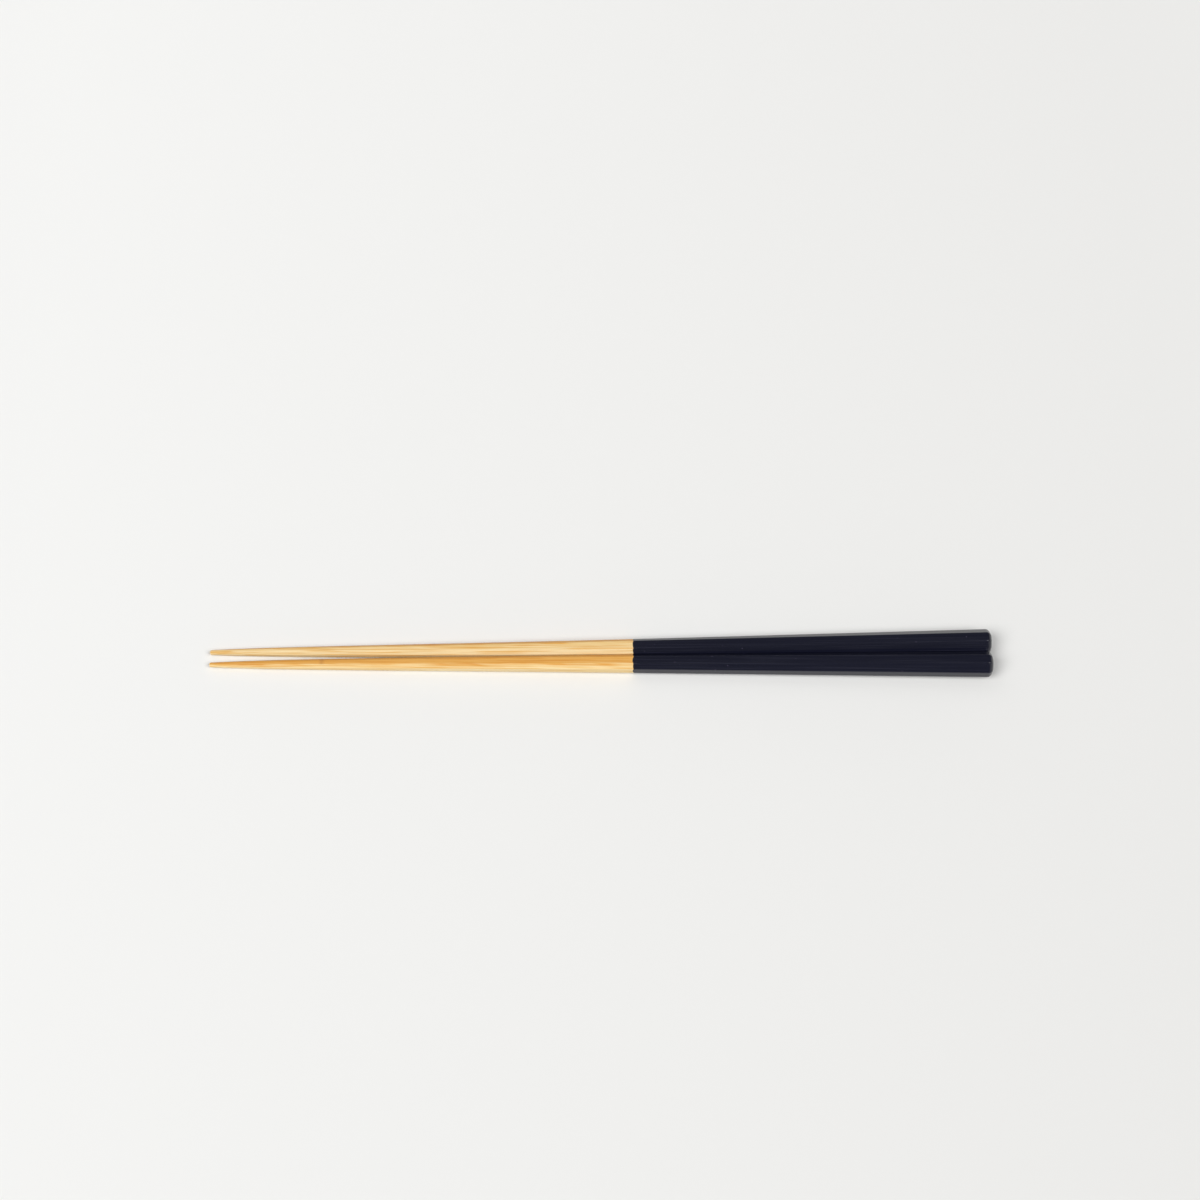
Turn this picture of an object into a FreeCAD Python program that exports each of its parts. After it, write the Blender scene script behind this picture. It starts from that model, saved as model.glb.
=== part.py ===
# A pair of bamboo chopsticks lying side by side, each resting on one of its long flats.
# Each stick is a tapered octagon with eased edges, a rounded butt and a slender rounded tip.
# It is drawn as cross-sections along the stick, from the tip at -x to the butt at +x.
# The front stick lies at -y, the back stick at +y, and z = 0 is the table.

import FreeCAD, Part
import math
import os
import Sketcher

# Driving dimensions in millimetres. A size "from_tip" is a distance along the stick.
# A flat width is the width of the four square facets, measured between sharp corners.
# A round's length is along the stick, and its depth is from the facets in towards the middle.
SIZES = (
    ("overall_length", 215.0),
    ("paint_line_from_tip", 116.3),
    ("shoulder_from_tip", 52.0),
    ("waist_from_tip", 30.0),
    ("neck_from_tip", 12.0),
    ("butt_across_flats", 6.75),
    ("butt_flat_width", 2.5),
    ("paint_line_across_flats", 4.62),
    ("paint_line_flat_width", 2.25),
    ("shoulder_across_flats", 3.38),
    ("shoulder_flat_width", 1.4),
    ("waist_across_flats", 2.8),
    ("waist_flat_width", 1.16),
    ("neck_across_flats", 2.1),
    ("neck_flat_width", 0.87),
    ("tip_across_flats", 1.34),
    ("tip_flat_width", 0.56),
    ("edge_radius", 0.3),
    ("butt_round_length", 1.5),
    ("butt_round_depth", 2.1),
    ("tip_round_length", 0.5),
    ("tip_round_depth", 0.5),
    ("side_gap", 0.08),
    ("planed_depth", 0.02),
    ("bow_from_tip", 150.0),
    ("back_tip_splay", 0.85),
    ("front_tip_splay", 0.5),
)

FACETS = 8
QUARTER_TURN = math.pi / 2
CORNER_TAN = math.tan(math.pi / FACETS)

# The ends are eased along a quarter ellipse, drawn at these angles from the end face
ROUND_ANGLES = (0, 30, 60)

# The stick's straight axis climbs by this much for each millimetre from shoulder to paint line
AXIS_SLOPE = (
    "((Sizes.paint_line_across_flats - Sizes.shoulder_across_flats) / 2"
    " / (Sizes.paint_line_from_tip - Sizes.shoulder_from_tip))"
)


def make_sheet(doc):
    """Spreadsheet with one aliased cell for each driving dimension."""
    sheet = doc.addObject("Spreadsheet::Sheet", "Sizes")
    for row, (name, value) in enumerate(SIZES, start=1):
        sheet.set(f"A{row}", name)
        sheet.set(f"B{row}", str(value))
        sheet.setAlias(f"B{row}", name)
    return sheet


def origin_plane(body, role):
    """Origin plane of a body, found by its role."""
    for feature in body.Origin.OriginFeatures:
        if feature.Role == role:
            return feature
    raise RuntimeError(f"{body.Label} has no {role}")


def facet(index):
    """Number of a facet's line in an octagon sketch. Facet 0 faces the sketch's +x."""
    return 2 * (index % FACETS)


def edge(index):
    """Number of the arc that eases the edge between a facet and the next one."""
    return facet(index) + 1


def octagon_corners(half_across, half_flat):
    """Sharp corners of the octagon, anticlockwise, each at the end of its facet."""
    corners = []
    for turn in range(4):
        for y, z in ((half_across, half_flat), (half_flat, half_across)):
            for _ in range(turn):
                y, z = -z, y
            corners.append(FreeCAD.Vector(y, z, 0))
    return corners


def draw_octagon(sketch, across, flat, radius):
    """Eight facets joined by eight edge arcs, all anticlockwise about the sketch's origin."""
    corners = octagon_corners(across / 2, flat / 2)
    trim = radius * CORNER_TAN
    for index, corner in enumerate(corners):
        along = (corner - corners[index - 1]).normalize()
        onward = (corners[(index + 1) % FACETS] - corner).normalize()
        start = corners[index - 1] + along * trim
        end = corner - along * trim
        sketch.addGeometry(Part.LineSegment(start, end), False)
        centre = end + FreeCAD.Vector(-along.y, along.x, 0) * radius
        circle = Part.Circle(centre, FreeCAD.Vector(0, 0, 1), radius)
        first = math.atan2(along.y, along.x) - QUARTER_TURN
        last = math.atan2(onward.y, onward.x) - QUARTER_TURN
        sketch.addGeometry(Part.ArcOfCircle(circle, first, last), False)


def name_constraint(sketch, name, expression, *parts):
    """Add a dimension with a name and bind it to the sheet."""
    sketch.addConstraint(Sketcher.Constraint(*parts, sketch.evalExpression(expression)))
    sketch.renameConstraint(sketch.ConstraintCount - 1, name)
    sketch.setExpression(f"Constraints.{name}", expression)


def constrain_octagon(sketch, across, flat, radius):
    """Tie the eased octagon to its widths across flats, its flat width and edge radius."""
    for index in range(FACETS):
        sketch.addConstraint(Sketcher.Constraint("Tangent", facet(index), 2, edge(index), 1))
        sketch.addConstraint(Sketcher.Constraint("Tangent", edge(index), 2, facet(index + 1), 1))
    for index in range(1, FACETS):
        sketch.addConstraint(Sketcher.Constraint("Equal", edge(0), edge(index)))
    for index, mirror_axis in ((0, -1), (2, -2), (4, -1), (6, -2)):
        sketch.addConstraint(
            Sketcher.Constraint("Symmetric", facet(index), 1, facet(index), 2, mirror_axis))
    for index in (2, 4, 6):
        sketch.addConstraint(Sketcher.Constraint("Equal", facet(0), facet(index)))
    half = f"({across}) / 2"
    trimmed_flat = f"({flat}) - 2 * ({radius}) * {CORNER_TAN}"
    name_constraint(sketch, "right_half", half, "DistanceX", -1, 1, facet(0), 1)
    name_constraint(sketch, "top_half", half, "DistanceY", -1, 1, facet(2), 1)
    name_constraint(sketch, "left_half", half, "DistanceX", facet(4), 1, -1, 1)
    name_constraint(sketch, "bottom_half", half, "DistanceY", facet(6), 1, -1, 1)
    name_constraint(sketch, "flat_length", trimmed_flat, "Distance", facet(0))
    name_constraint(sketch, "edge_radius", radius, "Radius", edge(0))


def section(body, name, from_tip, size, centre):
    """Eased octagon across the stick. Size is its widths and radius, centre its y and z."""
    across, flat, radius = size
    sketch = body.newObject("Sketcher::SketchObject", f"{body.Label}_{name}")
    sketch.AttachmentSupport = [(origin_plane(body, "YZ_Plane"), "")]
    sketch.MapMode = "FlatFace"
    sketch.setExpression("AttachmentOffset.Base.x", centre[0])
    sketch.setExpression("AttachmentOffset.Base.y", centre[1])
    sketch.setExpression("AttachmentOffset.Base.z", f"{from_tip} - Sizes.overall_length / 2")
    widths = [sketch.evalExpression(width) for width in size]
    draw_octagon(sketch, *widths)
    constrain_octagon(sketch, across, flat, radius)
    return sketch


def loft(body, name, sections, ruled):
    """Solid through a row of sections, straight between them or smooth."""
    solid = body.newObject("PartDesign::AdditiveLoft", f"{body.Label}_{name}")
    solid.Profile = sections[0]
    solid.Sections = sections[1:]
    solid.Ruled = ruled
    for sketch in sections:
        sketch.Visibility = False
    return solid


def plane_underside(body):
    """Cut the underside true along z = 0, which makes the flat that the stick lies on."""
    sketch = body.newObject("Sketcher::SketchObject", f"{body.Label}_rest_flat")
    sketch.AttachmentSupport = [(origin_plane(body, "XY_Plane"), "")]
    sketch.MapMode = "FlatFace"
    half_x = sketch.evalExpression("Sizes.overall_length")
    half_y = sketch.evalExpression("4 * Sizes.butt_across_flats")
    corners = [FreeCAD.Vector(half_x * x, half_y * y, 0)
               for x, y in ((1, -1), (1, 1), (-1, 1), (-1, -1))]
    for index, corner in enumerate(corners):
        sketch.addGeometry(Part.LineSegment(corners[index - 1], corner), False)
    for index in range(4):
        sketch.addConstraint(
            Sketcher.Constraint("Coincident", index, 2, (index + 1) % 4, 1))
    for index in (0, 2):
        sketch.addConstraint(Sketcher.Constraint("Horizontal", index))
        sketch.addConstraint(Sketcher.Constraint("Vertical", index + 1))
    sketch.addConstraint(Sketcher.Constraint("Symmetric", 0, 1, 2, 1, -1, 1))
    name_constraint(sketch, "length", "2 * Sizes.overall_length", "Distance", 0)
    name_constraint(sketch, "width", "8 * Sizes.butt_across_flats", "Distance", 1)
    cut = body.newObject("PartDesign::Pocket", f"{body.Label}_underside")
    cut.Profile = sketch
    cut.Type = "ThroughAll"
    sketch.Visibility = False
    return cut


def splay(tip_splay, from_tip):
    """Sideways bow of the stick, a parabola that grows from nothing towards the tip."""
    share = f"max(0; 1 - ({from_tip}) / Sizes.bow_from_tip)"
    return f"Sizes.{tip_splay} * {share} * {share}"


def named_size(place):
    """Widths of a named cross-section, with the edge radius that the whole stick shares."""
    return (f"Sizes.{place}_across_flats", f"Sizes.{place}_flat_width", "Sizes.edge_radius")


def end_round(body, name, place, from_tip_of, centre_of):
    """Sections that ease one end, from its end face inwards, each a smaller octagon."""
    across, flat, edge_size = named_size(place)
    sections = []
    for angle in ROUND_ANGLES:
        inset = f"Sizes.{name}_depth * (1 - sin({angle} deg))"
        setback = f"Sizes.{name}_length * (1 - cos({angle} deg))"
        small_across = f"{across} - 2 * {inset}"
        small_flat = f"{flat} - 2 * {inset} * {CORNER_TAN}"
        small_edge = f"{edge_size} * ({small_across}) / {across}"
        from_tip = from_tip_of(setback)
        size = (small_across, small_flat, small_edge)
        sections.append(section(body, f"{name}_{angle}", from_tip, size, centre_of(from_tip)))
    return sections


def chopstick(doc, label, side, tip_splay):
    """One stick, on the +y or -y side of the pair's middle line."""
    body = doc.addObject("PartDesign::Body", label)
    body.Label = label

    def centre(from_tip, half_across):
        """Middle of a section, as far from the middle line and the table as its half width."""
        aside = f"{side} * (Sizes.side_gap / 2 + {half_across} + {splay(tip_splay, from_tip)})"
        return (aside, f"{half_across} - Sizes.planed_depth")

    def resting(place):
        """Half width of a named section that lies on the table."""
        return f"Sizes.{place}_across_flats / 2"

    def axis_half(from_tip):
        """Height of the straight axis over the table, past the shoulder."""
        drop = f"{AXIS_SLOPE} * (Sizes.shoulder_from_tip - ({from_tip}))"
        return f"({resting('shoulder')} - {drop})"

    def tip_centre(from_tip):
        return centre(from_tip, axis_half(from_tip))

    def butt_centre(from_tip):
        return centre(from_tip, resting("butt"))

    butt_start = "(Sizes.overall_length - Sizes.butt_round_length)"
    shoulder = section(body, "shoulder", "Sizes.shoulder_from_tip", named_size("shoulder"),
                       centre("Sizes.shoulder_from_tip", resting("shoulder")))
    paint_line = section(body, "paint_line", "Sizes.paint_line_from_tip",
                         named_size("paint_line"),
                         centre("Sizes.paint_line_from_tip", resting("paint_line")))
    butt = section(body, "butt", butt_start, named_size("butt"), butt_centre(butt_start))
    waist = section(body, "waist", "Sizes.waist_from_tip", named_size("waist"),
                    tip_centre("Sizes.waist_from_tip"))
    neck = section(body, "neck", "Sizes.neck_from_tip", named_size("neck"),
                   tip_centre("Sizes.neck_from_tip"))
    tip = section(body, "tip", "Sizes.tip_round_length", named_size("tip"),
                  tip_centre("Sizes.tip_round_length"))

    butt_round = end_round(body, "butt_round", "butt",
                           lambda setback: f"(Sizes.overall_length - {setback})", butt_centre)
    tip_round = end_round(body, "tip_round", "tip",
                          lambda setback: f"({setback})", tip_centre)
    doc.recompute()

    loft(body, "handle", [shoulder, paint_line, butt], ruled=True)
    loft(body, "tip_taper", [shoulder, waist, neck, tip], ruled=False)
    loft(body, "butt_end", [butt] + butt_round[::-1], ruled=False)
    loft(body, "tip_end", [tip] + tip_round[::-1], ruled=False)
    plane_underside(body)
    return body


def check(doc, bodies):
    """Stop if anything failed to compute, or a stick is not one valid solid."""
    for item in doc.Objects:
        if "Invalid" in item.State or "Error" in item.State:
            raise RuntimeError(f"{item.Label}: {item.State}")
        if item.isDerivedFrom("Sketcher::SketchObject") and not item.FullyConstrained:
            raise RuntimeError(f"{item.Label} is not fully constrained")
    for body in bodies:
        if body.Shape.isNull() or not body.Shape.isValid() or len(body.Shape.Solids) != 1:
            raise RuntimeError(f"{body.Label} is not one valid solid")


def main():
    doc = FreeCAD.newDocument("chopsticks")
    make_sheet(doc)
    doc.recompute()
    bodies = (
        chopstick(doc, "back_chopstick", 1, "back_tip_splay"),
        chopstick(doc, "front_chopstick", -1, "front_tip_splay"),
    )
    doc.recompute()
    check(doc, bodies)
    os.makedirs("parts", exist_ok=True)
    for body in bodies:
        body.Shape.exportStep(f"parts/{body.Label}.step")
        box = body.Shape.BoundBox
        print(f"{body.Label}: {body.Shape.Volume:.1f} mm3, "
              f"{box.XLength:.2f} x {box.YLength:.2f} x {box.ZLength:.2f} mm")


main()
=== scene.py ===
# %% [markdown]
# # A pair of bamboo chopsticks
# Two slim sticks lie side by side on a pale table. Each one is a single length of bamboo, planed
# to eight facets, bare at the tip half and dipped in navy lacquer at the handle half. The packed
# model gives the true place of both sticks. This lesson gives each stick a finer mesh with the
# coat's real edge, a bamboo whose fibres run through the solid, and a lacquer that lets the grain
# show.

import math

import bmesh
import bpy
from mathutils import Matrix, Vector, noise


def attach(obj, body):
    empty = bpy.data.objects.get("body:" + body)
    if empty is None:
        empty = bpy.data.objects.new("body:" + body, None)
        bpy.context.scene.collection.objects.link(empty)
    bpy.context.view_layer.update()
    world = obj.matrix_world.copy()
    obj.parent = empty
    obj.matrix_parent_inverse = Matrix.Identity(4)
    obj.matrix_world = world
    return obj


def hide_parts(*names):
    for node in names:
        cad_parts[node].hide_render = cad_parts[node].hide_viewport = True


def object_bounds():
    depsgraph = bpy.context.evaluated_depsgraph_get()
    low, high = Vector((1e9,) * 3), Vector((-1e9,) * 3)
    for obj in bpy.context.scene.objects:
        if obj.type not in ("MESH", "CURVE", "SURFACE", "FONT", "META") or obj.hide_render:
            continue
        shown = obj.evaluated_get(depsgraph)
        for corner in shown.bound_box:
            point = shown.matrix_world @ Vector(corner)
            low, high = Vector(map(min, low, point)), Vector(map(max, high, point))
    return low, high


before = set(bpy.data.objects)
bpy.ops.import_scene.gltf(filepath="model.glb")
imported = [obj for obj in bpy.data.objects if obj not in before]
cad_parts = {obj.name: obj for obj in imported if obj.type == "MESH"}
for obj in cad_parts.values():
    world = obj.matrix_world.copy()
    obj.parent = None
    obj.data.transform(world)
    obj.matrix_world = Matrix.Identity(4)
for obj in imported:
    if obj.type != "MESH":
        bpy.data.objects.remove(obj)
cad_low, cad_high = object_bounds()
print("nodes", sorted(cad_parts), "box", cad_low[:], cad_high[:])

# %% [markdown]
# ## Sizes along a stick
# A chopstick has no single taper. The handle narrows slowly, and past a soft shoulder the tip
# narrows faster. The four square flats keep most of their width along the handle while the corner
# facets grow. A short list of sections holds this: each says how far it is from the tip, how wide
# the stick is across its flats, and how wide one flat is. The sticks are modelled in millimetres,
# because bevels behave better on numbers near one, and each mesh is scaled to metres when it is
# done. Each rounded end has two sizes: its length along the stick and its depth in from the
# facets. A splay is how far a bowed tip stands out from the straight stick.

# %% Sections of a stick, in millimetres
MM = 0.001
LENGTH = (cad_high.x - cad_low.x) / MM
PAINT_LINE = 116.3
SHOULDER = 52.0
WAIST = 30.0
NECK = 12.0
TIP_ROUND = (0.5, 0.5)
BUTT_ROUND = (1.5, 2.1)
EDGE_RADIUS = 0.3
SIDE_GAP = 0.08
PLANED_DEPTH = 0.02
BOW_START = 150.0
BACK_SPLAY = 0.85
FRONT_SPLAY = 0.5

# Each row has a distance from the tip, the width across the flats and the width of one flat.
SECTIONS = (
    (TIP_ROUND[0], 1.34, 0.56),
    (NECK, 2.1, 0.87),
    (WAIST, 2.8, 1.16),
    (SHOULDER, 3.38, 1.4),
    (PAINT_LINE, 4.62, 2.25),
    (LENGTH - BUTT_ROUND[0], 6.75, 2.5),
)
ACROSS = 1
FLAT = 2
TIP_SECTIONS = 4
print("stick length", round(LENGTH, 2), "mm")


# %% [markdown]
# Between two handle sections the sizes change in a straight line. The tip follows the curve
# through its four sections, so that no crease shows at the neck or the waist.

# %% Width across flats and flat width at any distance from the tip
def curve_through(s, places, values):
    """Value at s on the smooth curve through a few places."""
    total = 0.0
    for i, value in enumerate(values):
        for j, other in enumerate(places):
            if j != i:
                value *= (s - other) / (places[i] - other)
        total += value
    return total


def size_at(s, column):
    """Size in a column of SECTIONS at s millimetres from the tip."""
    places = [row[0] for row in SECTIONS]
    values = [row[column] for row in SECTIONS]
    s = min(max(s, places[0]), places[-1])
    if s <= SHOULDER:
        return curve_through(s, places[:TIP_SECTIONS], values[:TIP_SECTIONS])
    i = TIP_SECTIONS - 1 if s <= PAINT_LINE else TIP_SECTIONS
    share = (s - places[i]) / (places[i + 1] - places[i])
    return values[i] + share * (values[i + 1] - values[i])


for s in (0, NECK, WAIST, SHOULDER, PAINT_LINE, LENGTH):
    across, flat = size_at(s, ACROSS), size_at(s, FLAT)
    print(f"{s:6.1f} mm from the tip: {across:.2f} across, flat {flat:.2f}")


# %% [markdown]
# The handle lies on one of its flats. From the shoulder on, the stick's middle goes straight
# ahead, so the slim tip lifts a little off the table. Seen from above, each stick has a slight
# natural bow and its tip stands away from the other stick.

# %% Middle of the stick, beside the pair's middle line and above the table
def middle_at(s, side, splay):
    """Place (y, z) of the stick's middle at s millimetres from the tip."""
    half = size_at(s, ACROSS) / 2
    if s < SHOULDER:
        half = size_at(SHOULDER, ACROSS) / 2
        climb = (size_at(PAINT_LINE, ACROSS) / 2 - half) / (PAINT_LINE - SHOULDER)
        half -= climb * (SHOULDER - s)
    bow = splay * max(0.0, 1 - s / BOW_START) ** 2
    return side * (SIDE_GAP / 2 + half + bow), half - PLANED_DEPTH


print("tip middles", middle_at(0, 1, BACK_SPLAY), middle_at(0, -1, FRONT_SPLAY))

# %% [markdown]
# ## One section as a ring
# The section is drawn the way the stick is planed. It starts as a square, as wide as the stick is
# across its flats. A corner bevel of one segment cuts the four corners, which makes the octagon.
# A second bevel rounds all eight corners, as fine sandpaper does. Each flat is then divided so
# that the mesh has even faces. A circle of eight points would be quicker, but its flats are all
# alike.

# %% Eased octagon from a square and two corner bevels
FACETS = 8
CORNER_TAN = math.tan(math.pi / FACETS)
EASE_STEPS = 3
FLAT_CUTS = 3


def bevel_corners(bm, corners, offset, segments):
    """Bevel the corners of a flat ring and return the new corners."""
    made = bmesh.ops.bevel(bm, geom=corners, affect="VERTICES", offset=offset,
                           offset_type="OFFSET", segments=segments, profile=0.5, material=-1,
                           clamp_overlap=False)
    return made["verts"]


def edges_among(corners):
    """Edges that join the given corners to each other, always in the same order."""
    chosen = set(corners)
    edges = dict.fromkeys(edge for corner in corners for edge in corner.link_edges)
    return [edge for edge in edges if chosen.issuperset(edge.verts)]


def eased_octagon(bm, across, flat, radius):
    """Flat face about the origin, in the XY plane."""
    square = bmesh.ops.create_circle(bm, cap_ends=True, segments=4,
                                     radius=across / math.sqrt(2))
    bmesh.ops.rotate(bm, verts=square["verts"], matrix=Matrix.Rotation(math.pi / 4, 3, "Z"))
    corners = bevel_corners(bm, square["verts"], (across - flat) / 2, 1)
    ease = radius * CORNER_TAN
    corners = bevel_corners(bm, corners, ease, EASE_STEPS)
    flats = [edge for edge in edges_among(corners) if edge.calc_length() > ease]
    cut = bmesh.ops.subdivide_edges(bm, edges=flats, cuts=FLAT_CUTS)
    return next(item for item in cut["geom"] if isinstance(item, bmesh.types.BMFace))


trial = bmesh.new()
trial_face = eased_octagon(trial, SECTIONS[-1][ACROSS], SECTIONS[-1][FLAT], EDGE_RADIUS)
print("section of", len(trial_face.verts), "points, area", round(trial_face.calc_area(), 2), "mm2")
trial.free()

# %% [markdown]
# ## Stations along the stick
# Rings stand closer together where the form changes: at both rounded ends, which follow a quarter
# ellipse, and on each side of the coat's edge. The bare bamboo is thinner than the lacquered part
# by the coat, so the coat's edge is a real step, climbed in three small rings. One more ring
# stands just before each round. It keeps the shading of the long facets straight up to there.

# %% Where the rings stand and how far each is inset
RING_SPACING = 3.0
END_STEPS = 6
COAT = 0.03
COAT_EDGE = ((0.0, COAT), (0.02, COAT / 2), (0.08, 0.0))
BEFORE_ROUND = 0.25


def end_stations(length, depth):
    """Setback and inset of each ring of a rounded end, starting at the end face."""
    angles = [math.pi / 2 * step / END_STEPS for step in range(END_STEPS)]
    return [(length * (1 - math.cos(angle)), depth * (1 - math.sin(angle)))
            for angle in angles]


def between(start, end):
    """Evenly spaced places from start to end, without the end."""
    steps = max(1, round((end - start) / RING_SPACING))
    return [start + (end - start) * step / steps for step in range(steps)]


def stations():
    """Every ring of a stick: its distance from the tip, its inset, and whether it is lacquered."""
    rings = [(setback, inset + COAT, False) for setback, inset in end_stations(*TIP_ROUND)]
    rings.append((TIP_ROUND[0], COAT, False))
    rings += [(s, COAT, False) for s in between(TIP_ROUND[0] + BEFORE_ROUND, SHOULDER)]
    rings += [(s, COAT, False) for s in between(SHOULDER, PAINT_LINE)]
    rings += [(PAINT_LINE + past, inset, past > 0) for past, inset in COAT_EDGE]
    round_start = LENGTH - BUTT_ROUND[0]
    last_facet = round_start - BEFORE_ROUND
    rings += [(s, 0.0, True) for s in between(PAINT_LINE + RING_SPACING, last_facet)]
    rings += [(last_facet, 0.0, True), (round_start, 0.0, True)]
    butt = reversed(end_stations(*BUTT_ROUND))
    rings += [(LENGTH - setback, inset, True) for setback, inset in butt]
    return rings


print(len(stations()), "rings")

# %% [markdown]
# ## The stick as a bridged row of rings
# Each ring is turned to stand across the stick, with the square's flats level and upright, and
# moved to its station. Bridging neighbouring rings makes the skin. The end faces stay from the
# first and last ring, so the mesh is closed. A loft by curves or a tapered and bevelled bar would
# be other ways, but only separate rings let flats and corner facets narrow at different rates.
#
# The dipped coat doesn't stop on a true circle. Lacquer draws back from the ridges and runs on a
# little along the flats, so the rings at the paint line are pulled into a shallow scallop.

# %% Build one stick
SCALLOP = 0.22
# How far a ridge stands out past a flat, as a share of the flat's distance from the middle.
RIDGE_RISE = 0.08
PAINT_WANDER = 0.18
WANDER_SCALE = 0.6
STICKS_APART = 7.0
BAMBOO = 0
LACQUER = 1


def stand_ring(bm, ring, s, side, splay):
    """Turn a flat ring to stand across the stick and move it to its station."""
    y, z = middle_at(s, side, splay)
    across_stick = Matrix(((0, 0, 1), (1, 0, 0), (0, 1, 0)))
    bmesh.ops.rotate(bm, verts=ring, matrix=across_stick)
    bmesh.ops.translate(bm, verts=ring, vec=(s - LENGTH / 2, y, z))


def scallop(ring, middle, half, side):
    """Pull the coat's edge towards the butt at the ridges, and let it wander a little."""
    for corner in ring:
        y, z = corner.co.y - middle[0], corner.co.z - middle[1]
        reach = math.hypot(y, z) / half
        spot = Vector((side * STICKS_APART, y * WANDER_SCALE, z * WANDER_SCALE))
        corner.co.x += SCALLOP * max(0.0, reach - 1) / RIDGE_RISE
        corner.co.x += PAINT_WANDER * noise.noise(spot)


def build_stick(side, splay):
    """One stick in millimetres, as a closed bmesh."""
    bm = bmesh.new()
    lower = None
    for s, inset, lacquered in stations():
        across = size_at(s, ACROSS) - 2 * inset
        flat = size_at(s, FLAT) - 2 * inset * CORNER_TAN
        # The eased edges shrink with an inset ring, so that they stay in line along the stick.
        radius = EDGE_RADIUS * across / size_at(s, ACROSS)
        face = eased_octagon(bm, across, flat, radius)
        ring = list(face.verts)
        edges = list(face.edges)
        finish = LACQUER if lacquered else BAMBOO
        face.material_index = finish
        stand_ring(bm, ring, s, side, splay)
        if abs(s - PAINT_LINE) < RING_SPACING / 2:
            scallop(ring, middle_at(s, side, splay), size_at(s, ACROSS) / 2, side)
        if 0 < s < LENGTH:
            bmesh.ops.delete(bm, geom=[face], context="FACES_ONLY")
        if lower:
            skin = bmesh.ops.bridge_loops(bm, edges=lower + edges)
            for strip in skin["faces"]:
                strip.material_index = finish
        lower = edges
    for corner in bm.verts:
        corner.co.z = max(corner.co.z, 0.0)
    bmesh.ops.recalc_face_normals(bm, faces=bm.faces)
    return bm


trial = build_stick(1, BACK_SPLAY)
print(len(trial.verts), "points,", len(trial.faces), "faces")
print("volume", round(trial.calc_volume(), 1), "mm3")
print("open edges", sum(not edge.is_manifold for edge in trial.edges))
trial.free()

# %% [markdown]
# ## Where the fibres run
# Bamboo has no rings. Dark bundles of fibre run straight up the culm, packed close under the skin
# and far apart inside. A stick is split from the wall of a culm, so one of its sides was nearest
# to the skin, and its fibres are never quite in line with it. The pattern has to follow that, and
# Object coordinates can't, because the sticks bow. So each point of the mesh stores its place in
# the culm: along the fibres from the nearest node, across them, and below the skin. A second
# value gives the depth below the skin as a share of the stick's width, and a third tells the
# eased ridges from the flats.

# %% Store each point's place in the culm
RIDGE_REACH = 0.3


def ridge_at(y, z, half, flat):
    """1 on a ridge between two facets, falling to 0 beside it."""
    low, high = sorted((abs(y), abs(z)))
    away = math.hypot(low - flat / 2, high - half)
    return max(0.0, 1 - away / RIDGE_REACH)


def store_culm_place(mesh, side, splay, skin_turn, run_out, culm_node):
    """Write the attributes grain_place, skin_depth and ridge on a mesh in millimetres.

    run_out says how far the fibres leave the stick's line across and below, for each millimetre.
    """
    toward_skin = Vector((math.cos(skin_turn), math.sin(skin_turn)))
    around = Vector((-toward_skin.y, toward_skin.x))
    places, depths, ridges = [], [], []
    for point in mesh.vertices:
        s = point.co.x + LENGTH / 2
        half = size_at(s, ACROSS) / 2
        local = Vector(point.co[1:]) - Vector(middle_at(s, side, splay))
        depth = half - local.dot(toward_skin)
        across = local.dot(around) - run_out[0] * s
        below = depth - run_out[1] * s
        places += [(s - culm_node) * MM, across * MM, below * MM]
        depths.append(depth / (2 * half))
        ridges.append(ridge_at(local.x, local.y, half, size_at(s, FLAT)))
    for title, kind, field, values in (("grain_place", "FLOAT_VECTOR", "vector", places),
                                       ("skin_depth", "FLOAT", "value", depths),
                                       ("ridge", "FLOAT", "value", ridges)):
        mesh.attributes.new(title, kind, "POINT").data.foreach_set(field, values)
    print(mesh.name, "depth below the skin", round(min(depths), 2), "to", round(max(depths), 2))


# %% [markdown]
# ## Nodes with less typing
# Every material here is built from nodes. The first helper adds a node and fills its inputs from
# values or from other nodes. Three more give the output of a Math node, of a smooth fade between
# two limits, and of a blend of two colours. The last one turns the 0 to 255 values of a paint
# program into the linear values that shaders use.

# %% Node helpers
def node(tree, kind, title, inputs, **settings):
    """Add a node with a label, its settings and its inputs."""
    made = tree.nodes.new(kind)
    made.label = title
    for name, value in settings.items():
        setattr(made, name, value)
    for name, value in inputs.items():
        if isinstance(value, bpy.types.NodeSocket):
            tree.links.new(value, made.inputs[name])
        else:
            made.inputs[name].default_value = value
    return made


def maths(tree, operation, first, second=0.0, title="", third=0.0):
    """Output of a Math node."""
    made = node(tree, "ShaderNodeMath", title, {0: first, 1: second, 2: third},
                operation=operation)
    return made.outputs[0]


def fade(tree, value, low, high, title):
    """0 below low, 1 above high and smooth between. Low may be above high."""
    made = node(tree, "ShaderNodeMapRange", title,
                {"Value": value, "From Min": low, "From Max": high},
                interpolation_type="SMOOTHSTEP")
    return made.outputs["Result"]


def blend_colour(tree, factor, first, second, title, kind="MIX"):
    """Output of a Mix Color node."""
    made = node(tree, "ShaderNodeMix", title, {0: factor, 6: first, 7: second},
                data_type="RGBA", blend_type=kind)
    return made.outputs[2]


def paint(red, green, blue):
    """Linear colour from values of 0 to 255."""
    shares = [value / 255 for value in (red, green, blue)]
    linear = [share / 12.92 if share <= 0.04045 else ((share + 0.055) / 1.055) ** 2.4
              for share in shares]
    return (*linear, 1.0)


print("bamboo in linear values", [round(value, 3) for value in paint(240, 206, 148)])


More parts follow.
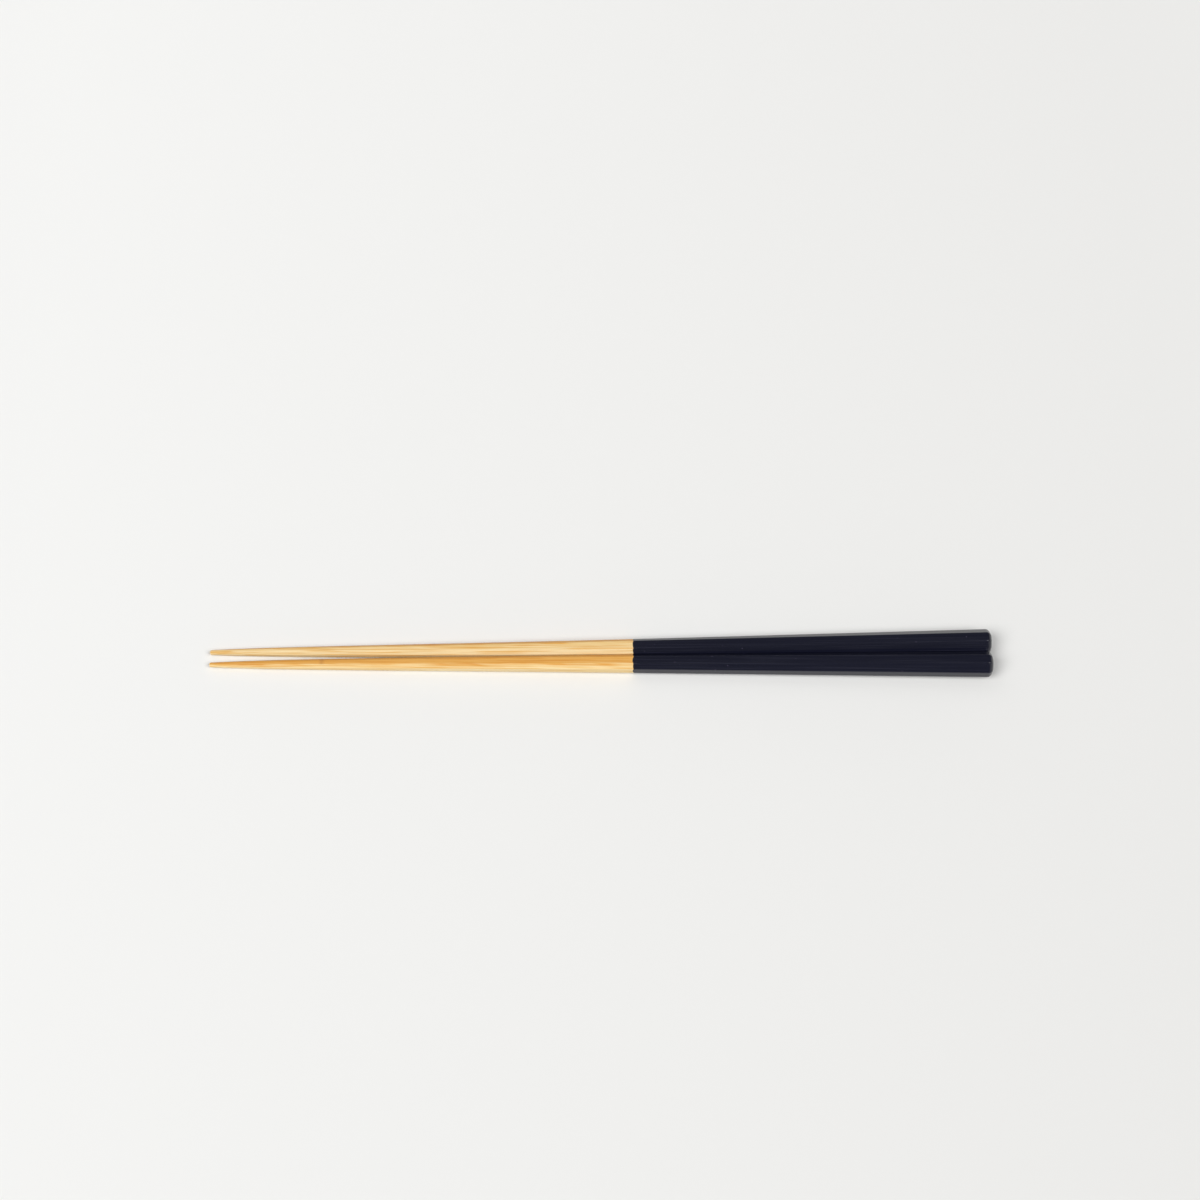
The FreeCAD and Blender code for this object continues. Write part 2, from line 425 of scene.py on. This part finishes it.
# %% [markdown]
# ## Streaks along the grain
# Fibres show as long thin streaks, in the bare bamboo as colour and under the lacquer as faint
# lines. A noise that is squeezed across the grain and stretched along it makes such streaks. Both
# materials use it, so it is a node group: its inputs are the place in the culm, how long and wide
# a streak is in metres, and how much fine detail it has. It gives out one value from 0 to 1.

# %% Node group: grain streaks
def group_tree(name, inputs, outputs):
    """Empty shader node group with named sockets, its input node and its output node."""
    tree = bpy.data.node_groups.new(name, "ShaderNodeTree")
    for title, kind, default in inputs:
        socket = tree.interface.new_socket(title, in_out="INPUT", socket_type=kind)
        if default is not None:
            socket.default_value = default
    for title, kind in outputs:
        tree.interface.new_socket(title, in_out="OUTPUT", socket_type=kind)
    return tree, tree.nodes.new("NodeGroupInput"), tree.nodes.new("NodeGroupOutput")


def grain_streaks_group():
    """Group that gives long thin streaks along the fibres."""
    tree, entry, result = group_tree(
        "Grain streaks",
        (("Place", "NodeSocketVector", None), ("Length", "NodeSocketFloat", 0.015),
         ("Width", "NodeSocketFloat", 0.0004), ("Detail", "NodeSocketFloat", 2.0)),
        (("Streaks", "NodeSocketFloat"),))
    width = entry.outputs["Width"]
    size = node(tree, "ShaderNodeCombineXYZ", "size of a streak",
                {"X": entry.outputs["Length"], "Y": width, "Z": width})
    place = node(tree, "ShaderNodeVectorMath", "place in streaks",
                 {0: entry.outputs["Place"], 1: size.outputs[0]}, operation="DIVIDE")
    streaks = node(tree, "ShaderNodeTexNoise", "streaks",
                   {"Vector": place.outputs[0], "Scale": 1.0, "Detail": entry.outputs["Detail"],
                    "Roughness": 0.55})
    tree.links.new(streaks.outputs["Fac"], result.inputs["Streaks"])
    return tree


GRAIN_STREAKS = grain_streaks_group()


def grain_streaks(tree, place, streak, title):
    """Output of one use of the group. A streak has a length, a width and a detail."""
    length, width, detail = streak
    made = node(tree, "ShaderNodeGroup", title, {}, node_tree=GRAIN_STREAKS)
    tree.links.new(place, made.inputs["Place"])
    made.inputs["Length"].default_value = length
    made.inputs["Width"].default_value = width
    made.inputs["Detail"].default_value = detail
    return made.outputs["Streaks"]


print(GRAIN_STREAKS.name, [item.name for item in GRAIN_STREAKS.interface.items_tree])


# %% [markdown]
# ## Bare bamboo
# The skin side is a warm orange brown and the inner wood a pale straw, so the base colour is a
# ramp on the depth below the skin. Soft long noise, laid at a slant to the stick, moves that
# boundary and gives the slanting patches where a facet cuts through it. Fibre bundles are cells
# of a Voronoi texture in the two directions across the grain: they run on for ever along it, and
# because the grain is a little out of line with the stick, each facet cuts them to long lenses. A
# node of the culm leaves a faint brown band across the skin side of the front stick. Finer
# streaks and a satin, slightly ribbed surface finish it. A picture of bamboo would show the same
# streaks on every facet and none at the ends.

# %% Material: bare bamboo
STRAW_TONE = paint(240, 215, 165)
# Depth below the skin, as a share of the stick's width, and the colour of the wood there.
WOOD = (
    (0.10, paint(225, 172, 92)),
    (0.14, paint(232, 191, 125)),
    (0.21, paint(233, 203, 146)),
    (0.45, STRAW_TONE),
    (0.80, paint(236, 216, 172)),
)
BUNDLE_TONE = paint(226, 176, 104)
NODE_TONE = paint(180, 118, 60)
STREAK_TINT = paint(238, 208, 156)
FINE_TINT = paint(251, 245, 232)

# Each kind of streak has a length and a width in metres, and a detail.
PATCHES = (0.012, 0.0010, 1.0)
DRIFT = (0.040, 0.0020, 1.0)
STREAKS = (0.026, 0.00028, 2.0)
FINE_FIBRES = (0.012, 0.00012, 2.0)
PATCH_SLANT = 0.11
PATCH_MIDDLE = 0.47
PATCH_SHIFT = 0.60
STREAK_SHARE = 0.9
# How quickly the rows of bundles wander along and across the grain, for each metre.
BUNDLE_WAVES = (30.0, 300.0, 300.0)
BUNDLE_SPACING = 0.8 * MM
BUNDLE_SHARE = 0.45
NODE_WIDTH = 1.1 * MM
NODE_SHARE = 0.45
RIB_HEIGHT = 0.03 * MM
BAMBOO_ROUGHNESS = 0.42
FIBRE_ROUGHNESS = 0.16


def attribute(tree, name, output):
    """Output of an Attribute node."""
    made = node(tree, "ShaderNodeAttribute", name, {}, attribute_name=name)
    return made.outputs[output]


def new_material(name, viewport_colour):
    """Material with an empty node tree and its output node."""
    material = bpy.data.materials.new(name)
    material.use_nodes = True
    material.diffuse_color = viewport_colour
    material.node_tree.nodes.clear()
    output = material.node_tree.nodes.new("ShaderNodeOutputMaterial")
    return material, material.node_tree, output


def bamboo_material():
    """Bamboo whose colour follows the place in the culm."""
    material, tree, output = new_material("Bare bamboo", STRAW_TONE)
    place = attribute(tree, "grain_place", "Vector")
    depth = attribute(tree, "skin_depth", "Fac")

    apart = node(tree, "ShaderNodeSeparateXYZ", "place in the culm", {"Vector": place})
    slanted = maths(tree, "SUBTRACT", apart.outputs["Z"],
                    maths(tree, "MULTIPLY", apart.outputs["X"], PATCH_SLANT), "slanted depth")
    slant_place = node(tree, "ShaderNodeCombineXYZ", "slanted place",
                       {"X": apart.outputs["X"], "Y": apart.outputs["Y"], "Z": slanted})

    patches = grain_streaks(tree, slant_place.outputs[0], PATCHES, "slow patches")
    drift = grain_streaks(tree, place, DRIFT, "slow drift")
    streaks = grain_streaks(tree, place, STREAKS, "fibre streaks")
    fine = grain_streaks(tree, place, FINE_FIBRES, "fine fibres")

    under = fade(tree, depth, 0.06, 0.20, "not on the skin side itself")
    shift = maths(tree, "MULTIPLY", maths(tree, "SUBTRACT", patches, PATCH_MIDDLE), under,
                  "patch shift")
    moved = maths(tree, "MULTIPLY_ADD", shift, PATCH_SHIFT, "depth with patches", depth)
    ramp = node(tree, "ShaderNodeValToRGB", "skin to inner wood", {"Fac": moved})
    stops = ramp.color_ramp.elements
    stops[0].position, stops[0].color = WOOD[0]
    stops[1].position, stops[1].color = WOOD[-1]
    for position, tone in WOOD[1:-1]:
        stops.new(position).color = tone

    wave = node(tree, "ShaderNodeVectorMath", "waviness", {0: place, 1: BUNDLE_WAVES},
                operation="MULTIPLY")
    wander = node(tree, "ShaderNodeTexNoise", "wander",
                  {"Vector": wave.outputs[0], "Scale": 1.0, "Detail": 1.0}).outputs["Fac"]
    cell_x, cell_y = (maths(tree, "MULTIPLY_ADD", apart.outputs[axis], 1 / BUNDLE_SPACING,
                            "bundle cells", wander) for axis in "YZ")
    cells = node(tree, "ShaderNodeCombineXYZ", "cell place", {"X": cell_x, "Y": cell_y, "Z": 0.0})
    bundles = node(tree, "ShaderNodeTexVoronoi", "fibre bundles",
                   {"Vector": cells.outputs[0], "Scale": 1.0, "Randomness": 1.0},
                   voronoi_dimensions="2D", feature="F1")
    bundle_mask = fade(tree, bundles.outputs["Distance"], 0.40, 0.10, "bundle mask")
    near_skin = fade(tree, moved, 0.85, 0.05, "more bundles near the skin")
    bundle_mask = maths(tree, "MULTIPLY", bundle_mask,
                        maths(tree, "MULTIPLY", near_skin, BUNDLE_SHARE))

    colour = blend_colour(tree, bundle_mask, ramp.outputs["Color"], BUNDLE_TONE, "bundles")
    streak_mask = fade(tree, streaks, 0.51, 0.61, "streak mask")
    colour = blend_colour(tree, maths(tree, "MULTIPLY", streak_mask, STREAK_SHARE), colour,
                          STREAK_TINT, "streaks", "MULTIPLY")
    fine_mask = fade(tree, fine, 0.35, 0.70, "fine mask")
    colour = blend_colour(tree, fine_mask, colour, FINE_TINT, "fine fibres", "MULTIPLY")
    colour = blend_colour(tree, fade(tree, drift, 0.35, 0.75, "drift mask"), colour,
                          FINE_TINT, "slow drift", "MULTIPLY")
    from_node = maths(tree, "ABSOLUTE", apart.outputs["X"], title="distance from the node")
    node_mask = maths(tree, "MULTIPLY", fade(tree, from_node, NODE_WIDTH, 0.0, "node band"),
                      fade(tree, depth, 0.20, 0.08, "on the skin side"), "node mask")
    colour = blend_colour(tree, maths(tree, "MULTIPLY", node_mask, NODE_SHARE), colour,
                          NODE_TONE, "node")

    relief = maths(tree, "MULTIPLY_ADD", streaks, 1.5, "relief", fine)
    bump = node(tree, "ShaderNodeBump", "ribbed surface",
                {"Height": relief, "Strength": 0.25, "Distance": RIB_HEIGHT})
    rough = maths(tree, "MULTIPLY_ADD", fine, FIBRE_ROUGHNESS, "roughness", BAMBOO_ROUGHNESS)
    shader = node(tree, "ShaderNodeBsdfPrincipled", "bamboo",
                  {"Base Color": colour, "Roughness": rough, "Normal": bump.outputs[0],
                   "IOR": 1.48, "Specular IOR Level": 0.3})
    tree.links.new(shader.outputs[0], output.inputs["Surface"])
    return material


BARE_BAMBOO = bamboo_material()
print(BARE_BAMBOO.name, len(BARE_BAMBOO.node_tree.nodes), "nodes")

# %% [markdown]
# ## Navy lacquer
# The handle half is dipped in a thin dark lacquer. It is smooth but not a mirror: the grain still
# telegraphs through as fine lines, and a few specks of dust dried into it. The ridges are paler:
# partly a thinner coat there, partly a painted highlight where the eased edges catch the light. A
# plain glossy navy would look like plastic.

# %% Material: navy lacquer
NAVY = paint(12, 14, 31)
# Paler navy for the grain lines, where the coat is thinner, and for the ridges, where it is both a
# thinner coat and a painted highlight.
THIN_COAT_AND_HIGHLIGHT_NAVY = paint(27, 28, 42)
SPECK_TONE = paint(66, 60, 78)
SPECK_SPACING = 2.6 * MM
GRAIN_LINES = (0.045, 0.00024, 3.0)
BROAD_GRAIN = (0.045, 0.0009, 2.0)
LINE_SHARE = 0.9
# How much paler the ridges are: a thinner coat there plus a painted highlight of the eased edges.
RIDGE_HIGHLIGHT_SHARE = 0.30
LINE_HEIGHT = 0.04 * MM
LACQUER_ROUGHNESS = 0.15
LINE_ROUGHNESS = 0.10


def lacquer_material():
    """Thin dark coat with the grain's lines, paler ridges and a few specks."""
    material, tree, output = new_material("Navy lacquer", NAVY)
    place = attribute(tree, "grain_place", "Vector")
    ridge = attribute(tree, "ridge", "Fac")
    lines = grain_streaks(tree, place, GRAIN_LINES, "grain lines")
    broad = grain_streaks(tree, place, BROAD_GRAIN, "broad grain")
    line_mask = fade(tree, lines, 0.46, 0.66, "line mask")
    # Paler ridges: a thinner coat and a painted highlight where the eased edges catch the light.
    ridge_highlight_mask = maths(tree, "MULTIPLY", ridge, RIDGE_HIGHLIGHT_SHARE, "painted highlight and thinner coat on ridges")

    spots = node(tree, "ShaderNodeVectorMath", "speck cells",
                 {0: place, 1: (1 / SPECK_SPACING,) * 3}, operation="MULTIPLY")
    dots = node(tree, "ShaderNodeTexVoronoi", "dust specks",
                {"Vector": spots.outputs[0], "Scale": 1.0, "Randomness": 1.0}, feature="F1")
    speck = fade(tree, dots.outputs["Distance"], 0.075, 0.03, "speck mask")

    # Paler where the grain shows through the coat, and on the ridges, where it is partly a painted
    # highlight.
    thin = maths(tree, "MAXIMUM", maths(tree, "MULTIPLY", line_mask, LINE_SHARE), ridge_highlight_mask,
                 "grain lines and painted ridge highlight")
    colour = blend_colour(tree, thin, NAVY, THIN_COAT_AND_HIGHLIGHT_NAVY, "lacquer colour with ridge highlight")
    colour = blend_colour(tree, speck, colour, SPECK_TONE, "specks")

    relief = maths(tree, "MULTIPLY", speck, 0.8, "specks stand out")
    relief = maths(tree, "MULTIPLY_ADD", broad, 1.4, "broad grain", relief)
    relief = maths(tree, "MULTIPLY_ADD", lines, 0.7, "grain lines", relief)
    bump = node(tree, "ShaderNodeBump", "grain under the coat",
                {"Height": relief, "Strength": 0.12, "Distance": LINE_HEIGHT})
    rough = maths(tree, "MULTIPLY_ADD", lines, LINE_ROUGHNESS, "roughness", LACQUER_ROUGHNESS)
    shader = node(tree, "ShaderNodeBsdfPrincipled", "lacquer",
                  {"Base Color": colour, "Roughness": rough, "Normal": bump.outputs[0],
                   "IOR": 1.5})
    tree.links.new(shader.outputs[0], output.inputs["Surface"])
    return material


NAVY_LACQUER = lacquer_material()
print(NAVY_LACQUER.name, len(NAVY_LACQUER.node_tree.nodes), "nodes")

# %% [markdown]
# ## The two sticks
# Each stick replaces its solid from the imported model. The front stick lies with the skin side up,
# so its top is evenly brown and the facet towards us cuts into pale wood. The back stick has its
# skin side away from us, and only the far edge of its top is brown. Smooth shading with weighted
# normals keeps the flats flat and the narrow eased edges round.

# %% Make, shade and place the sticks
# Each stick has a name, its CAD node, its side of the pair's middle line, its splay, the turn of
# its skin side up from straight back in degrees, its run-out, and the distance of the culm's node
# from its tip. The back stick comes from between two nodes: the nearest lies beyond its tip.
STICKS = (
    ("back_stick", "back_chopstick", 1, BACK_SPLAY, 14, (0.012, 0.022), -140.0),
    ("front_stick", "front_chopstick", -1, FRONT_SPLAY, 68, (0.010, 0.012), 31.0),
)


def make_stick(name, node_name, side, splay, skin_turn, run_out, culm_node):
    """Finished stick as an object that stands for its CAD node."""
    bm = build_stick(side, splay)
    mesh = bpy.data.meshes.new(name)
    bm.to_mesh(mesh)
    bm.free()
    store_culm_place(mesh, side, splay, math.radians(skin_turn), run_out, culm_node)
    mesh.transform(Matrix.Scale(MM, 4))
    mesh.shade_smooth()
    mesh.materials.append(BARE_BAMBOO)
    mesh.materials.append(NAVY_LACQUER)
    stick = bpy.data.objects.new(name, mesh)
    bpy.context.scene.collection.objects.link(stick)
    weighted = stick.modifiers.new("Flat facets", "WEIGHTED_NORMAL")
    weighted.weight = 100
    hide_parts(node_name)
    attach(stick, "root")
    print(name, len(mesh.vertices), "points", [round(size / MM, 2) for size in stick.dimensions])


for row in STICKS:
    make_stick(*row)

# %% [markdown]
# ## Table, light and camera
# The table is a plain pale surface and isn't part of the object. Far off on every side it turns up
# into a low slope, like the paper sweep of a photo studio, so that a low view sees pale paper and
# not the dim room. A disc is extruded outwards ring by ring, and each ring is widened and lifted.
# The table's colour grows slowly a little darker to the right. This is painted shade, the light
# falling off across the table, and not a tone of the paper.

# %% Table
TABLE_RADIUS = 1.5
TABLE_SIDES = 96
# Painted shade: the table is coloured lighter on the left and darker on the right, as the light
# falls off across it.
LIT_LEFT_COLOUR = (0.855, 0.855, 0.842, 1.0)
DIMMER_RIGHT_COLOUR = (0.777, 0.774, 0.76, 1.0)
FALLOFF_REACH = 0.16
# Each ring of the sweep has a radius and a height in metres.
SWEEP = ((2.0, 0.02), (2.5, 0.07), (3.0, 0.15), (3.5, 0.26), (4.0, 0.395), (9.0, 2.1))


def make_table():
    """Flat disc with the sweep around it, not attached to the object."""
    bm = bmesh.new()
    bmesh.ops.create_circle(bm, cap_ends=True, segments=TABLE_SIDES, radius=TABLE_RADIUS)
    rim = list(bm.edges)
    radius, height = TABLE_RADIUS, 0.0
    for new_radius, new_height in SWEEP:
        grown = bmesh.ops.extrude_edge_only(bm, edges=rim)["geom"]
        ring = [item for item in grown if isinstance(item, bmesh.types.BMVert)]
        rim = edges_among(ring)
        widen = new_radius / radius
        bmesh.ops.scale(bm, verts=ring, vec=(widen, widen, 1.0))
        bmesh.ops.translate(bm, verts=ring, vec=(0.0, 0.0, new_height - height))
        radius, height = new_radius, new_height
    mesh = bpy.data.meshes.new("table")
    bm.to_mesh(mesh)
    bm.free()
    mesh.shade_smooth()
    material, tree, output = new_material("Pale tabletop", LIT_LEFT_COLOUR)
    place = tree.nodes.new("ShaderNodeTexCoord").outputs["Object"]
    apart = node(tree, "ShaderNodeSeparateXYZ", "place on the table", {"Vector": place})
    along = node(tree, "ShaderNodeMapRange", "left to right",
                 {"Value": apart.outputs["X"], "From Min": -FALLOFF_REACH, "From Max": FALLOFF_REACH})
    tone = blend_colour(tree, along.outputs["Result"], LIT_LEFT_COLOUR, DIMMER_RIGHT_COLOUR, "painted light falloff")
    shader = node(tree, "ShaderNodeBsdfPrincipled", "tabletop",
                  {"Base Color": tone, "Roughness": 0.9, "Specular IOR Level": 0.1})
    tree.links.new(shader.outputs[0], output.inputs["Surface"])
    mesh.materials.append(material)
    table = bpy.data.objects.new("table", mesh)
    bpy.context.scene.collection.objects.link(table)
    print("table", [round(size, 2) for size in table.dimensions])


make_table()

# %% [markdown]
# The light is the even light of a product photograph. Two large soft lamps stand in front, one on
# each side, with a weak one behind and a low level from all sides. The front lamps stand only a
# little lower than the camera, so the sticks hide most of their own shadows, and only a soft one
# shows to the right of the butts. No lamp stands straight across the sticks from the camera: the
# flat lacquered facets would mirror it and turn grey. Sun lamps with a wide angle are as soft as
# large panels and light the whole table evenly. The room above is dim and plain, and the lacquer
# stays dark because it mirrors that room.

# %% Light
ROOM_LIGHT = (0.17, 0.17, 0.17, 1.0)
LAMP_ANGLE = math.radians(36)
# Each lamp has a name, a turn and a height in degrees, and a strength.
LAMPS = (
    ("left_lamp", -57, 51, 1.78),
    ("right_lamp", 57, 51, 1.51),
    ("back_lamp", -145, 45, 0.24),
)


def make_room():
    """World that lights evenly from all sides."""
    world = bpy.data.worlds.new("Plain room")
    world.use_nodes = True
    tree = world.node_tree
    tree.nodes.clear()
    output = tree.nodes.new("ShaderNodeOutputWorld")
    room = node(tree, "ShaderNodeBackground", "light from all sides", {"Color": ROOM_LIGHT})
    tree.links.new(room.outputs[0], output.inputs["Surface"])
    bpy.context.scene.world = world


def make_lamp(name, turn, height, strength):
    """Soft lamp that faces the sticks, with angles in degrees from straight in front."""
    turn, height = math.radians(turn), math.radians(height)
    light = bpy.data.lights.new(name, "SUN")
    light.angle = LAMP_ANGLE
    light.energy = strength
    lamp = bpy.data.objects.new(name, light)
    bpy.context.scene.collection.objects.link(lamp)
    toward = Vector((math.sin(turn) * math.cos(height), -math.cos(turn) * math.cos(height),
                     math.sin(height)))
    lamp.location = toward
    lamp.rotation_euler = toward.to_track_quat("Z", "Y").to_euler()
    print(name, [round(value, 2) for value in toward])


make_room()
for lamp in LAMPS:
    make_lamp(*lamp)
bpy.context.scene.view_settings.view_transform = "Standard"

# %% [markdown]
# The camera stands where the photographer's did: above and in front of the sticks, looking down
# at them by about 63 degrees, with a long lens. The pair lies a little below the middle of the
# picture, which the camera gets by looking slightly past it, and rises by a hair to the right.

# %% Camera
IMAGE_SIZE = 1200
SENSOR = 36.0
LENS = 87.0
DISTANCE = 0.7968
ELEVATION = math.radians(63.0)
TURN = math.radians(-0.24)
PAIR_SEEN_AT = (600.9, 655.6)
STICK_MIDDLE = Vector((0.0, 0.0, 2.6 * MM))

focal = LENS / SENSOR * IMAGE_SIZE
aim_down = math.atan((PAIR_SEEN_AT[1] - IMAGE_SIZE / 2) / focal)
aim_side = math.atan((PAIR_SEEN_AT[0] - IMAGE_SIZE / 2) / focal)
away = Vector((math.sin(TURN) * math.cos(ELEVATION), -math.cos(TURN) * math.cos(ELEVATION),
               math.sin(ELEVATION)))
camera_data = bpy.data.cameras.new("camera")
camera_data.lens = LENS
camera_data.sensor_width = SENSOR
camera = bpy.data.objects.new("camera", camera_data)
bpy.context.scene.collection.objects.link(camera)
camera.location = STICK_MIDDLE + away * DISTANCE
camera.rotation_euler = (math.pi / 2 - ELEVATION + aim_down, 0, TURN + aim_side)
bpy.context.scene.camera = camera
print("camera at", [round(value, 4) for value in camera.location], "focal", round(focal), "pixels")
